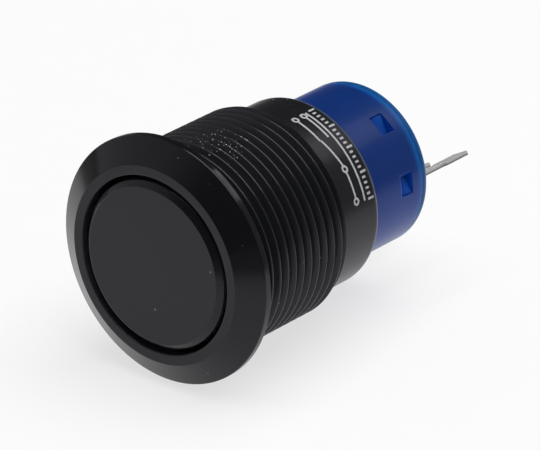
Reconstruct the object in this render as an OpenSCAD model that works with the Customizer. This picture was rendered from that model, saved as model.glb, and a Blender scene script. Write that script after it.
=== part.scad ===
// Flush panel push button: a threaded metal barrel with a bevelled flange, a sprung round button,
// and a plug-in switch block whose see-saw contact changes over between two of three blade terminals.
// The operator looks along +Y at the front, +Z is up, and the origin is the centre of the panel seat.
// Sub-parts are drawn about a local z axis that points at the operator, then laid along the Y axis.

/* [Bezel and barrel] */
// Outer diameter of the flange
flange_d = 22; // [20.5:0.1:26]
// Height of the flange in front of the panel
flange_h = 2; // [1.6:0.1:3]
// Height of the straight rim below the bevel
rim_h = 0.65; // [0.3:0.05:1.2]
// Outer diameter of the flat ring around the button
ring_d = 17.65; // [17:0.05:19]
// Width of that flat ring
ring_w = 0.9; // [0.6:0.05:1.2]
// Major diameter of the thread
thread_d = 18.9; // [18.6:0.05:20]
// Pitch of the thread
thread_pitch = 1; // [0.75:0.05:1.25]
// Length of the threaded zone behind the panel seat
thread_len = 12.1; // [8:0.1:14]
// Diameter of the smooth rear barrel
barrel_d = 17.1; // [16.4:0.05:17.4]
// Length of the whole barrel behind the panel seat
barrel_len = 17.4; // [15:0.1:20]
// Chamfer on the rear edge of the barrel
barrel_chamfer = 0.25; // [0.1:0.05:0.5]
// Thickness of the collar that guides the stem
collar_h = 2.6; // [2:0.1:3.2]

/* [Button] */
// Clear gap all round between button and bezel
button_gap = 0.4; // [0.2:0.05:0.6]
// How far the button stands in front of the flat ring
button_proud = 0.2; // [0:0.05:0.5]
// Width of the bevel round the button's face
button_bevel_w = 0.55; // [0.3:0.05:0.9]
// Depth of that bevel
button_bevel_h = 0.4; // [0.2:0.05:0.9]
// Height of the cap
cap_h = 3.7; // [3:0.1:4.2]
// Thickness of the cap's face
cap_face = 1.4; // [1:0.1:1.8]
// Wall of the cap's skirt
cap_wall = 1; // [0.7:0.05:1.3]
// Height of the boss inside the cap that takes the stem
cap_boss_h = 1; // [0.6:0.1:1.4]
// How far the button travels
travel = 2; // [1.4:0.1:2.3]

/* [Stem, seal and return spring] */
// Diameter of the stem
stem_d = 7; // [6:0.1:7.6]
// Diameter of the stem's top spigot in the cap
spigot_d = 5; // [4:0.1:5.4]
// Length of that spigot
spigot_l = 1.3; // [1:0.1:1.6]
// Diameter of the stem's tail in the driver
tail_d = 3.6; // [3:0.1:4]
// Length of that tail
tail_l = 3.6; // [2.5:0.1:4]
// Thickness of the stem seal's rubber
seal_cs = 1.2; // [0.9:0.05:1.4]
// Thickness of the washer over the seal
washer_t = 0.5; // [0.3:0.05:0.8]
// Outer diameter of that washer
washer_d = 14; // [12.5:0.1:15]
// Thickness of the retaining clip
clip_t = 0.5; // [0.3:0.05:0.7]
// Outer diameter of the retaining clip
clip_d = 10; // [9:0.1:10.8]
// Depth of the clip's groove in the stem
clip_depth = 0.6; // [0.4:0.05:0.9]
// Wire of the return spring
return_wire = 0.45; // [0.3:0.05:0.5]
// Mean diameter of the return spring
return_d = 10; // [8.6:0.1:11]
// Turns of the return spring
return_turns = 4.5; // [3.5:0.25:4.75]

/* [Switch housing] */
// Angle of the terminal row about the axis, from +X towards +Z
clock = 29.4; // [0:0.1:360]
// Outer diameter of the blue housing
housing_d = 14.8; // [14.4:0.05:15.1]
// Wall of the housing
housing_wall = 0.7; // [0.6:0.05:0.8]
// Length of the housing that shows behind the barrel
housing_out = 8.2; // [7:0.05:10]
// Wall inside the housing that guides the driver
partition_t = 1.2; // [0.9:0.1:1.6]
// Bore in front of that wall, in which the retaining clip travels
recess_d = 11.8; // [11.2:0.1:12.4]
// Thickness of the gasket in front of the housing
gasket_t = 0.5; // [0.3:0.05:0.8]
// Wire of the ring that locks the housing in the barrel
snap_wire = 0.7; // [0.5:0.05:0.8]
// Width of a snap window round the housing
window_w = 1.9; // [1.4:0.05:2.4]
// Length of a snap window along the axis
window_l = 1.5; // [1.1:0.05:1.8]
// Distance from the rear end to the near edge of the windows
window_back = 2.25; // [1.5:0.05:2.6]
// Half angle between the two windows of a pair
window_angle = 22.5; // [15:0.5:30]
// How far a snap lug lies below the housing's surface
lug_drop = 0.35; // [0.1:0.05:0.45]
// Thickness of the end flange of the terminal base
end_t = 0.8; // [0.6:0.05:1.2]
// Radius on the rear edge of the end flange
end_round = 0.55; // [0.2:0.05:0.55]

/* [Driver and rocker] */
// Diameter of the driver's guided shaft
driver_d = 5.2; // [4.8:0.1:5.6]
// Thickness of the driver's foot
foot_t = 1.4; // [1:0.1:1.8]
// Distance from the pivot at which the driver pushes the rocker
push_x = 3.4; // [3.1:0.05:3.6]
// Diameter of the push rod under the foot
rod_d = 1.4; // [1:0.05:1.6]
// Width of the driver's guide key
key_w = 1.2; // [0.8:0.05:1.6]
// Length of the contact strip
strip_l = 10; // [9.8:0.05:10.2]
// Thickness of the contact strip
strip_t = 0.5; // [0.35:0.05:0.6]
// Height of the strip's underside over the pivot
strip_rise = 1; // [0.95:0.05:1.2]
// Diameter of the pivot pin
pin_d = 0.8; // [0.6:0.05:0.9]
// Thickness of the rocker's two lugs
lug_t = 0.4; // [0.3:0.05:0.45]
// Diameter of the contact rivets
contact_d = 1.6; // [1.3:0.05:1.7]
// Height of a contact rivet's head
contact_h = 0.5; // [0.45:0.05:0.6]
// Distance from the pivot to the moving contacts
contact_x = 4.15; // [4:0.05:4.2]
// Wire of the rocker spring
rocker_wire = 0.3; // [0.2:0.05:0.35]
// Mean diameter of the rocker spring
rocker_spring_d = 2; // [1.7:0.05:2.1]
// Turns of the rocker spring
rocker_turns = 6; // [4:0.5:6.5]

/* [Terminals] */
// Spacing of the blade terminals
terminal_pitch = 4.7; // [4.5:0.05:4.75]
// Distance from the axis to the row of blades
terminal_row = 2.9; // [2.6:0.05:3]
// Distance from the row of blades to the line of contacts
contact_shift = 1; // [0.9:0.05:1.1]
// Width of a blade
blade_w = 1.75; // [1.5:0.05:1.8]
// Thickness of a blade
blade_t = 0.4; // [0.35:0.05:0.55]
// Length of a terminal behind the housing
terminal_l = 7; // [5:0.1:10]
// Length of the wide blade at its end
blade_l = 3.3; // [2:0.1:4.5]
// Width of a terminal's neck, in and just behind the base
neck_w = 1.1; // [0.9:0.05:1.3]

/* [Clearances] */
// Radial clearance of what slides or turns
run_gap = 0.05; // [0.03:0.01:0.08]
// Clearance of what is only plugged together
fit_gap = 0.03; // [0.02:0.01:0.05]
// Room left at the end of each travel
end_gap = 0.3; // [0.2:0.05:0.4]
// Room between faces that meet at rest
rest_gap = 0.05; // [0.02:0.01:0.1]
// Room beside what swings or slides freely
side_gap = 0.15; // [0.1:0.05:0.2]

/* [Hidden] */
$fn = 64;
BLACK_METAL = "#1b1c1e";
BUTTON_METAL = "#3a3b3e";
BLUE_PLASTIC = "#1f46c8";
WHITE_PLASTIC = "#e8e6df";
BRIGHT_STEEL = "#b9bcc0";
BLACK_RUBBER = "#161616";
TIN_PLATE = "#c4c4c2";
COPPER_ALLOY = "#c28a4e";
SILVER = "#d8d8da";

flange_r = flange_d / 2;
ring_r = ring_d / 2;
bore_r = ring_r - ring_w;
barrel_r = barrel_d / 2;
cap_r = bore_r - button_gap;
stem_r = stem_d / 2;
spigot_r = spigot_d / 2;
tail_r = tail_d / 2;
housing_r = housing_d / 2;
chamber_r = housing_r - housing_wall;
recess_r = recess_d / 2;
rear_bore_r = housing_r + fit_gap;
driver_r = driver_d / 2;
rod_r = rod_d / 2;
pin_r = pin_d / 2;
contact_r = contact_d / 2;

// Thread: the 60 degree profile, as grooves that repeat at the pitch and start on a crest at the seat
thread_r = thread_d / 2;
thread_root_r = thread_r - 0.6134 * thread_pitch;
thread_crest = thread_pitch / 8;
thread_flank = (thread_r - thread_root_r) * tan(30);
thread_grooves = floor(thread_len / thread_pitch);

// Axial stations from the operator's side to the rear, with 0 at the panel seat
cap_top = flange_h + button_proud;
cap_under = cap_top - cap_face;
cap_end = cap_top - cap_h;
boss_end = cap_under - cap_boss_h;
washer_top = cap_end - travel - end_gap;
collar_top = washer_top - washer_t;
seal_floor = collar_top - seal_cs - rest_gap;
collar_end = collar_top - collar_h;
clip_top = collar_end - rest_gap;
clip_end = clip_top - clip_t;
stem_end = clip_end - clip_t;
partition_top = stem_end - travel - end_gap;
partition_end = partition_top - partition_t;
foot_top = partition_end - side_gap;
foot_end = foot_top - foot_t;
housing_top = collar_end - gasket_t;
housing_end = -barrel_len - housing_out;
base_seat = housing_end + end_t;
blade_tip = housing_end - terminal_l;
blade_top = blade_tip + blade_l;

// Rocker: it swings by the same angle to both sides of level, because the driver follows it
strip_top = strip_rise + strip_t;
swing = atan(travel / 2 / push_x);
spring_x = -push_x;
pivot_drop = strip_top / cos(swing) + driver_r * tan(swing) + end_gap;
pivot_z = foot_end - travel - pivot_drop;
rod_ball_z = pivot_z + push_x * tan(swing) + (strip_top + rod_r) / cos(swing) + rest_gap;

// Contacts: the dome's lowest point at full swing sets the height of the fixed contacts
dome_r = 0.75 * contact_d;
dome_z = strip_rise - contact_h + dome_r;
dome_low = dome_z * cos(swing) - contact_x * sin(swing) - dome_r;
fixed_top = pivot_z + dome_low - rest_gap;
ledge_top = fixed_top - contact_h;
deck = ledge_top - blade_t;
rivet_r = contact_r / 2;
blade_corner = blade_t / 4;
blade_y = -terminal_row;
contact_y = blade_y + contact_shift;
ledge_reach = contact_y + contact_r;
lug_gap = rest_gap + fit_gap;
lug_y = blade_t / 2 + lug_gap;
lug_r = pin_r + lug_t;
strip_near = contact_y + contact_r + rest_gap;
strip_far = blade_y - lug_y - lug_t;

// Snap ring, plug and lugs of the switch block
snap_z = partition_top - partition_t / 2;
snap_groove = snap_wire + 2 * fit_gap;
snap_gap_angle = 30;
plug_r = chamber_r - fit_gap;
lug_room = 0.15;
window_end = housing_end + window_back;
window_top = window_end + window_l;
lug_reach = housing_r - lug_drop;
window_turns = [window_angle, -window_angle, 180 + window_angle, 180 - window_angle];
key_reach = chamber_r - side_gap;
rib_w = 0.5;
rib_reach = 0.85;
peg_r = rocker_spring_d / 2 - rocker_wire / 2 - side_gap;
peg_h = 0.8;

// Springs
coil_rings = 12;
coil_sides = 6;
return_low = washer_top + return_wire / 2 + fit_gap;
return_high = cap_under - return_wire / 2 - fit_gap;
spring_edge = rocker_spring_d / 2 + rocker_wire / 2;
spring_seat = pivot_z + strip_top / cos(swing) + (spring_x + spring_edge) * tan(swing);
rocker_low = spring_seat + rocker_wire / 2 + rest_gap;
rocker_high = partition_end - rocker_wire / 2 - fit_gap;

// Lays the local z axis along the button's axis, operator's side to the front
module laid() {
    rotate([90, 0, 0]) children();
}

// The switch block's own frame: its x axis runs along the row of terminals
module block() {
    laid() rotate([0, 0, clock]) children();
}

// The rocker's frame at rest: its origin is the pivot and its normally-open end is raised
module rocker_frame() {
    block() translate([0, 0, pivot_z]) rotate([0, -swing, 0]) children();
}

// Flat ring or disc between two heights
module ring(outer_r, inner_r, top, low) {
    rotate_extrude() translate([inner_r, low]) square([outer_r - inner_r, top - low]);
}

// Plate in the block's x-z plane, centred on one y
module upright(y, thickness) {
    translate([0, y, 0]) rotate([90, 0, 0]) linear_extrude(thickness, center = true) children();
}

// Round bar along the block's y axis
module cross_bar(radius, y, length) {
    translate([0, y, 0]) rotate([90, 0, 0]) cylinder(r = radius, h = length, center = true);
}

// Centre points of a helix between two heights
function helix(mean_r, low, high, turns) = [
    for (i = [0 : turns * coil_rings])
        let (a = 360 * i / coil_rings)
        [mean_r * cos(a), mean_r * sin(a), low + (high - low) * i / (turns * coil_rings)]
];

// Least clear distance between wire that lies half a turn or more apart
function coil_gap(points, wire) = min([
    for (i = [0 : len(points) - 1])
        for (j = [i + coil_rings / 2 : 1 : len(points) - 1])
            norm(points[i] - points[j])
]) - wire;

// One unbroken wire along a helix, closed at both ends
module coil(mean_r, wire, low, high, turns) {
    centres = helix(mean_r, low, high, turns);
    lead = atan((high - low) / turns / (2 * PI * mean_r));
    last = len(centres) - 1;
    points = [
        for (i = [0 : last])
            let (a = 360 * i / coil_rings)
            for (k = [0 : coil_sides - 1])
                let (
                    b = 360 * k / coil_sides,
                    out = wire / 2 * cos(b),
                    up = wire / 2 * sin(b),
                    back = up * sin(lead)
                )
                centres[i] + [
                    out * cos(a) + back * sin(a),
                    out * sin(a) - back * cos(a),
                    up * cos(lead)
                ]
    ];
    sides = [
        for (i = [0 : last - 1])
            for (k = [0 : coil_sides - 1])
                let (
                    n = (k + 1) % coil_sides,
                    p = i * coil_sides,
                    q = p + coil_sides
                )
                each [[p + k, p + n, q + n], [p + k, q + n, q + k]]
    ];
    caps = [
        for (k = [1 : coil_sides - 2])
            each [[0, k + 1, k], [last * coil_sides, last * coil_sides + k, last * coil_sides + k + 1]]
    ];
    polyhedron(points, concat(sides, caps));
}

// Turned metal body: flange, thread, smooth barrel, button chamber, guiding collar and rear bore
module bezel_barrel() {
    front = [[bore_r, flange_h], [ring_r, flange_h], [flange_r, rim_h], [flange_r, 0], [thread_r, 0]];
    half_crest = thread_crest / 2;
    thread = [
        for (i = [0 : thread_grooves - 1])
            let (crest = -i * thread_pitch, next = crest - thread_pitch)
            each [
                [thread_r, crest - half_crest],
                [thread_root_r, crest - half_crest - thread_flank],
                [thread_root_r, next + half_crest + thread_flank],
                [thread_r, next + half_crest]
            ]
    ];
    tail = [
        [thread_r, -thread_len],
        [barrel_r, -thread_len],
        [barrel_r, barrel_chamfer - barrel_len],
        [barrel_r - barrel_chamfer, -barrel_len],
        [rear_bore_r, -barrel_len]
    ];
    lock = [
        [rear_bore_r, snap_z - snap_groove / 2],
        [housing_r + snap_groove / 2, snap_z - snap_groove / 2],
        [housing_r + snap_groove / 2, snap_z + snap_groove / 2],
        [rear_bore_r, snap_z + snap_groove / 2]
    ];
    inside = [
        [rear_bore_r, collar_end],
        [stem_r + run_gap, collar_end],
        [stem_r + run_gap, seal_floor],
        [stem_r + 2 * run_gap + seal_cs, seal_floor],
        [stem_r + 2 * run_gap + seal_cs, collar_top],
        [bore_r, collar_top]
    ];
    color(BLACK_METAL)
        laid()
            rotate_extrude()
                polygon(concat(front, thread, tail, lock, inside));
}

// Round button: a cup with a bevelled front edge and a boss that takes the stem
module button_cap() {
    color(BUTTON_METAL)
        laid()
            difference() {
                rotate_extrude()
                    difference() {
                        polygon([
                            [0, cap_top],
                            [cap_r - button_bevel_w, cap_top],
                            [cap_r, cap_top - button_bevel_h],
                            [cap_r, cap_end],
                            [0, cap_end]
                        ]);
                        translate([stem_r, cap_end - 1])
                            square([cap_r - cap_wall - stem_r, cap_under - cap_end + 1]);
                        translate([-1, cap_end - 1]) square([stem_r + 2, boss_end - cap_end + 1]);
                    }
                translate([0, 0, boss_end - 1]) cylinder(r = spigot_r + fit_gap, h = spigot_l + fit_gap + 1);
            }
}

// Stem: top spigot in the cap, guided shank with the clip's groove, and a tail that carries the driver
module plunger_stem() {
    color(BRIGHT_STEEL)
        laid()
            rotate_extrude()
                polygon([
                    [0, boss_end + spigot_l],
                    [spigot_r, boss_end + spigot_l],
                    [spigot_r, boss_end],
                    [stem_r, boss_end],
                    [stem_r, clip_top + fit_gap],
                    [stem_r - clip_depth, clip_top + fit_gap],
                    [stem_r - clip_depth, clip_end - fit_gap],
                    [stem_r, clip_end - fit_gap],
                    [stem_r, stem_end],
                    [tail_r, stem_end],
                    [tail_r, stem_end - tail_l],
                    [0, stem_end - tail_l]
                ]);
}

// Open clip that stops the stem behind the collar at rest
module retaining_clip() {
    inner_r = stem_r - clip_depth + fit_gap;
    color(BRIGHT_STEEL)
        block()
            translate([0, 0, clip_end])
                linear_extrude(clip_t)
                    difference() {
                        circle(clip_d / 2);
                        circle(inner_r);
                        translate([0, -inner_r]) square([clip_d, 2 * inner_r]);
                    }
}

// Round rubber ring in the collar's counterbore
module stem_seal() {
    color(BLACK_RUBBER)
        laid()
            rotate_extrude()
                translate([stem_r + run_gap + seal_cs / 2, seal_floor + seal_cs / 2])
                    circle(seal_cs / 2);
}

// Washer that keeps the seal in place and carries the return spring
module spring_seat_washer() {
    color(BRIGHT_STEEL)
        laid()
            ring(washer_d / 2, stem_r + side_gap, washer_top, collar_top);
}

// Spring around the stem that lifts the button
module return_spring() {
    color(BRIGHT_STEEL)
        laid()
            coil(return_d / 2, return_wire, return_low, return_high, return_turns);
}

// Blue sleeve: clip recess, guiding wall, switch chamber and four snap windows
module switch_housing() {
    shell = [
        [recess_r, housing_top],
        [housing_r, housing_top],
        [housing_r, snap_z + snap_groove / 2],
        [housing_r - snap_groove / 2, snap_z + snap_groove / 2],
        [housing_r - snap_groove / 2, snap_z - snap_groove / 2],
        [housing_r, snap_z - snap_groove / 2],
        [housing_r, base_seat],
        [chamber_r, base_seat],
        [chamber_r, partition_end],
        [driver_r + run_gap, partition_end],
        [driver_r + run_gap, partition_top],
        [recess_r, partition_top]
    ];
    key_side = key_w / 2 + side_gap;
    key_low = foot_end - travel - end_gap;
    color(BLUE_PLASTIC)
        block() {
            difference() {
                rotate_extrude() polygon(shell);
                for (a = window_turns)
                    rotate([0, 0, a])
                        translate([plug_r - 1, -window_w / 2, window_end])
                            cube([housing_r - plug_r + 2, window_w, window_l]);
            }
            for (side = [-1, 1])
                translate([side * (key_side + rib_w / 2) - rib_w / 2, chamber_r - rib_reach, key_low])
                    cube([rib_w, rib_reach + housing_wall / 2, partition_end - key_low]);
            translate([spring_x, contact_y, partition_end - peg_h])
                cylinder(r = peg_r, h = peg_h + partition_t / 2);
        }
}

// Flat rubber ring between the housing and the collar
module housing_gasket() {
    color(BLACK_RUBBER)
        laid()
            ring(housing_r, recess_r, collar_end, housing_top);
}

// Open wire ring, half in the housing's groove and half in the barrel's
module housing_snap_ring() {
    color(BRIGHT_STEEL)
        block()
            translate([0, 0, snap_z])
                rotate([0, 0, snap_gap_angle / 2])
                    rotate_extrude(angle = 360 - snap_gap_angle)
                        translate([housing_r, 0])
                            circle(snap_wire / 2);
}

// White push piece: guided shaft on the stem's tail, foot with a guide key, and a round-ended push rod
module driver() {
    arm_turn = atan2(contact_y, push_x);
    arm_l = norm([push_x, contact_y]);
    arm_w = rod_d + 2 * side_gap;
    color(WHITE_PLASTIC)
        block()
            difference() {
                union() {
                    translate([0, 0, foot_end]) cylinder(r = driver_r, h = stem_end - rest_gap - foot_end);
                    translate([0, 0, foot_end])
                        linear_extrude(foot_t) {
                            rotate(arm_turn) translate([0, -arm_w / 2]) square([arm_l, arm_w]);
                            translate([push_x, contact_y]) circle(arm_w / 2);
                            translate([-key_w / 2, 0]) square([key_w, key_reach]);
                        }
                    translate([push_x, contact_y, rod_ball_z])
                        cylinder(r = rod_r, h = foot_top - rod_ball_z);
                    translate([push_x, contact_y, rod_ball_z]) sphere(rod_r);
                }
                translate([0, 0, stem_end - tail_l - rest_gap])
                    cylinder(r = tail_r + fit_gap, h = tail_l + 1);
            }
}

// Small spring that keeps the rocker on the normally-closed side
module rocker_spring() {
    color(BRIGHT_STEEL)
        block()
            translate([spring_x, contact_y, 0])
                coil(rocker_spring_d / 2, rocker_wire, rocker_low, rocker_high, rocker_turns);
}

// See-saw contact strip with two lugs on the pivot pin
module contact_rocker() {
    color(COPPER_ALLOY)
        rocker_frame()
            difference() {
                union() {
                    translate([-strip_l / 2, strip_far, strip_rise])
                        cube([strip_l, strip_near - strip_far, strip_t]);
                    for (side = [-1, 1])
                        upright(blade_y + side * (lug_y + lug_t / 2), lug_t) {
                            circle(lug_r);
                            translate([-lug_r, 0]) square([2 * lug_r, strip_rise + strip_t / 2]);
                        }
                }
                cross_bar(pin_r + run_gap, blade_y, 2 * (lug_y + lug_t) + 1);
                for (side = [-1, 1])
                    translate([side * contact_x, contact_y, 0])
                        cylinder(r = rivet_r + fit_gap, h = strip_top + 1);
            }
}

// Domed contact rivet in one end of the strip
module moving_contact(side) {
    color(SILVER)
        rocker_frame()
            translate([side * contact_x, contact_y, 0]) {
                intersection() {
                    translate([0, 0, dome_z]) sphere(dome_r);
                    cylinder(r = contact_r, h = strip_rise);
                }
                translate([0, 0, strip_rise - contact_h / 4])
                    cylinder(r = rivet_r, h = strip_t + contact_h / 4);
            }
}

module rocker_contact_no() {
    moving_contact(1);
}

module rocker_contact_nc() {
    moving_contact(-1);
}

// Pivot pin, held by the common terminal
module rocker_pin() {
    color(BRIGHT_STEEL)
        block()
            translate([0, 0, pivot_z])
                cross_bar(pin_r, blade_y, 2 * (lug_y + lug_t + rest_gap));
}

// Outline of a terminal about its own centre line: a neck through the base and a wider blade
module blade_outline(top) {
    shoulder = (blade_w - neck_w) / 2;
    translate([-neck_w / 2, blade_top - blade_l / 2]) square([neck_w, top - blade_top + blade_l / 2]);
    polygon([
        [-neck_w / 2, blade_top],
        [-blade_w / 2, blade_top - shoulder],
        [-blade_w / 2, blade_tip + blade_corner],
        [-blade_w / 2 + blade_corner, blade_tip],
        [blade_w / 2 - blade_corner, blade_tip],
        [blade_w / 2, blade_tip + blade_corner],
        [blade_w / 2, blade_top - shoulder],
        [neck_w / 2, blade_top]
    ]);
}

// Blue plug: deck for the terminals, end flange, and the snap lugs that show in the windows
module terminal_base() {
    slot_w = neck_w + 2 * fit_gap;
    slot_t = blade_t + 2 * fit_gap;
    lug_in = plug_r - housing_wall;
    lug_w = window_w - 2 * lug_room;
    lug_top = window_top - lug_room;
    lug_end = window_end + fit_gap;
    color(BLUE_PLASTIC)
        block()
            difference() {
                union() {
                    ring(plug_r, 0, deck, base_seat - end_t / 2);
                    rotate_extrude()
                        difference() {
                            translate([0, housing_end]) square([housing_r, end_t]);
                            translate([housing_r - end_round, housing_end])
                                difference() {
                                    square(end_round);
                                    translate([0, end_round]) circle(end_round);
                                }
                        }
                    for (a = window_turns)
                        rotate([0, 0, a])
                            upright(0, lug_w)
                                polygon([
                                    [lug_in, lug_top],
                                    [plug_r, lug_top],
                                    [lug_reach, lug_end + window_l / 3],
                                    [lug_reach, lug_end],
                                    [lug_in, lug_end]
                                ]);
                }
                for (i = [-1 : 1])
                    translate([i * terminal_pitch - slot_w / 2, blade_y - slot_t / 2, housing_end - 1])
                        cube([slot_w, slot_t, deck - housing_end + 2]);
            }
}

// Middle terminal: its inner end is an eye that carries the pivot pin
module terminal_com() {
    color(TIN_PLATE)
        block()
            upright(blade_y, blade_t)
                difference() {
                    union() {
                        blade_outline(pivot_z);
                        translate([0, pivot_z]) circle(lug_r);
                    }
                    translate([0, pivot_z]) circle(pin_r + fit_gap);
                }
}

// Outer terminal: its inner end is bent over the deck and carries a fixed contact
module outer_terminal(side) {
    color(TIN_PLATE)
        block()
            translate([side * terminal_pitch, 0, 0])
                difference() {
                    union() {
                        upright(blade_y, blade_t) blade_outline(ledge_top);
                        translate([-blade_w / 2, blade_y - blade_t / 2, deck])
                            cube([blade_w, ledge_reach - blade_y + blade_t / 2, blade_t]);
                    }
                    translate([0, contact_y, deck - 1]) cylinder(r = rivet_r + fit_gap, h = blade_t + 2);
                }
}

module terminal_no() {
    outer_terminal(1);
}

module terminal_nc() {
    outer_terminal(-1);
}

// Flat contact rivet on an outer terminal
module fixed_contact(side) {
    color(SILVER)
        block()
            translate([side * terminal_pitch, contact_y, 0])
                rotate_extrude()
                    polygon([
                        [0, deck],
                        [rivet_r, deck],
                        [rivet_r, ledge_top],
                        [contact_r, ledge_top],
                        [contact_r, fixed_top],
                        [0, fixed_top]
                    ]);
}

module fixed_contact_no() {
    fixed_contact(1);
}

module fixed_contact_nc() {
    fixed_contact(-1);
}

return_line = helix(return_d / 2, return_low, return_high, return_turns);
rocker_line = helix(rocker_spring_d / 2, rocker_low, rocker_high, rocker_turns);
echo(swing_each_way = swing, pivot_depth = -pivot_z);
echo(return_spring_gap = coil_gap(return_line, return_wire));
echo(rocker_spring_gap = coil_gap(rocker_line, rocker_wire));

bezel_barrel();
button_cap();
plunger_stem();
retaining_clip();
stem_seal();
spring_seat_washer();
return_spring();
switch_housing();
housing_gasket();
housing_snap_ring();
driver();
rocker_spring();
contact_rocker();
rocker_contact_no();
rocker_contact_nc();
rocker_pin();
terminal_base();
terminal_com();
terminal_no();
terminal_nc();
fixed_contact_no();
fixed_contact_nc();
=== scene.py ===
# %% [markdown]
# # A flush panel push button for a 19 mm hole
# The part is a small electrical button: a black turned barrel with a bevelled flange and a long thread, a
# round button in its face, and a blue plastic switch block plugged into its back with three blade terminals.
# The CAD frame already holds every piece in its true place, in metres. The front faces -Y, +Z is up, and the
# origin is the middle of the face that rests on the panel. This lesson gives that frame its looks: finer
# shapes for what shows, a finish for every piece, and the light and camera of a product photograph.

# %% Load the frame
import math

import bmesh
import bpy
from mathutils import Matrix, Vector


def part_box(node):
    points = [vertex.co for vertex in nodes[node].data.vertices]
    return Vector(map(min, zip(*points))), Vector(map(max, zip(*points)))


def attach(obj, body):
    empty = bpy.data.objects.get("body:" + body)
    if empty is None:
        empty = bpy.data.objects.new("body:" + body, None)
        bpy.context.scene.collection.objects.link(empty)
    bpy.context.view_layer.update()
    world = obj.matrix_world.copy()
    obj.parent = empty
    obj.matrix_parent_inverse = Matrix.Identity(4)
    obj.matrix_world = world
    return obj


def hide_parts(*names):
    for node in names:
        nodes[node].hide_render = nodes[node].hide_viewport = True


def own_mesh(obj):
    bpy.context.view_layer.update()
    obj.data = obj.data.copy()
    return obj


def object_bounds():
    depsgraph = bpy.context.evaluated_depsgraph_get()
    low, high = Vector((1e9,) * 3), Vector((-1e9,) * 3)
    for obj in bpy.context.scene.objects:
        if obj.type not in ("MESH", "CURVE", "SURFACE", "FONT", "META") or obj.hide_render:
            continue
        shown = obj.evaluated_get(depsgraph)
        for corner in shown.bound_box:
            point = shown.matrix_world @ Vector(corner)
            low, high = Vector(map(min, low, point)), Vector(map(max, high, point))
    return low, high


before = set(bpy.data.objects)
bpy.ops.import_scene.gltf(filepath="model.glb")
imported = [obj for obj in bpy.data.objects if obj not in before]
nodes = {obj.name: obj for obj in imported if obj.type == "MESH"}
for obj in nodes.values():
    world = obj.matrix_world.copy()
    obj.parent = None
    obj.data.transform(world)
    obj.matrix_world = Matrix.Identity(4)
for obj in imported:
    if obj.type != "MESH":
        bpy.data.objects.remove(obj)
cad_low, cad_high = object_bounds()
MM = 0.001
print("CAD box in mm:", [round(side / MM, 2) for side in cad_high - cad_low])

# %% [markdown]
# ## Sizes from the frame
# Most pieces are turned about the Y axis, so three lengths place one: its radius, and where it starts and
# ends along Y. They are read from the frame's own boxes, in millimetres, so the looks can't drift from it.

# %% Read the turned sizes
def turned_size(node):
    low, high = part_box(node)
    radius = max(high.x - low.x, high.z - low.z) / 2
    return [round(length / MM, 3) for length in (radius, low.y, high.y)]


flange_r, ring_y, barrel_end = turned_size("bezel_barrel")
cap_r, cap_y, cap_end = turned_size("button_cap")
housing_r, housing_y, seat_y = turned_size("switch_housing")
plug_flange_r, deck_y, plug_end = turned_size("terminal_base")
print("flange", flange_r, "button", cap_r, "housing", housing_r, "plug ends at", plug_end)

# %% [markdown]
# ## The camera
# A product photograph is taken from far away with a long lens, so that round parts don't bulge. The button is
# seen from its front right, 40 degrees round and 25 degrees above the table. Setting the given place and turn
# is better here than a tracking constraint, because the picture's middle isn't the object's middle.

# %% Camera and colour
scene = bpy.context.scene
camera = bpy.data.objects.new("product_camera", bpy.data.cameras.new("product_camera"))
camera.data.lens = 310.908
camera.data.sensor_width = 36
camera.data.clip_start = 0.02
camera.data.clip_end = 20
camera.location = (0.230346, -0.264155, 0.166447)
camera.rotation_euler = [math.radians(angle) for angle in (64.994, 0, 39.72)]
scene.collection.objects.link(camera)
scene.camera = camera
scene.view_settings.view_transform = "Standard"
print("camera", round(camera.location.length, 3), "m from the panel seat")

# %% [markdown]
# ## Small helpers for nodes
# Materials and Geometry Nodes are both trees of nodes. One function fills a node's inputs: each takes a plain
# value, another node's output, or a whole node, which stands for its first output. The next one adds a node,
# changes its settings and fills it. The third turns the usual sRGB hex colour, as a paint chip gives it, into
# the linear numbers that Blender's shaders reckon with. A new material comes with nodes of its own, so the
# fourth empties its tree, and the last one starts a finish there, with its shader and its place on the piece.

# %% Node and colour helpers
def fill(tree, node, inputs):
    for key, value in inputs.items():
        if isinstance(value, bpy.types.Node):
            value = value.outputs[0]
        if isinstance(value, bpy.types.NodeSocket):
            tree.links.new(value, node.inputs[key])
        else:
            node.inputs[key].default_value = value


def add(tree, kind, inputs=None, **settings):
    node = tree.nodes.new(kind)
    for key, value in settings.items():
        setattr(node, key, value)
    fill(tree, node, inputs or {})
    return node


def linear(hex_code):
    shares = [int(hex_code[i:i + 2], 16) / 255 for i in (1, 3, 5)]
    return [part / 12.92 if part <= 0.04045 else ((part + 0.055) / 1.055) ** 2.4 for part in shares] + [1]


def empty_tree(owner):
    owner.use_nodes = True
    owner.node_tree.nodes.clear()
    return owner.node_tree


def start_finish(name):
    finish = bpy.data.materials.new(name)
    tree = empty_tree(finish)
    shader = add(tree, "ShaderNodeBsdfPrincipled")
    add(tree, "ShaderNodeOutputMaterial", {"Surface": shader.outputs["BSDF"]})
    place = add(tree, "ShaderNodeTexCoord").outputs["Object"]
    return finish, tree, shader, place


print("dark grey #1b1c1e is", [round(part, 4) for part in linear("#1b1c1e")[:3]], "in linear light")

# %% [markdown]
# ## Black anodised aluminium, turned
# The barrel is turned from bar and then anodised and dyed black. The dyed oxide is a clear, hard, glassy
# skin over black, so it mirrors its surroundings as glass does, weakly from the front and strongly at a
# glance, and it isn't shaded as a bare metal. The flange is polished, and the barrel behind it is left as
# turned, so it is duller, except on the crests of the thread, which are rubbed smooth. The tool leaves fine
# rings round the axis: they are about 0.03 mm apart, and are drawn at 0.12 mm so that they show. Black dye
# leaves a faint violet cast in the mirror image, which is the shader's Specular Tint.

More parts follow.
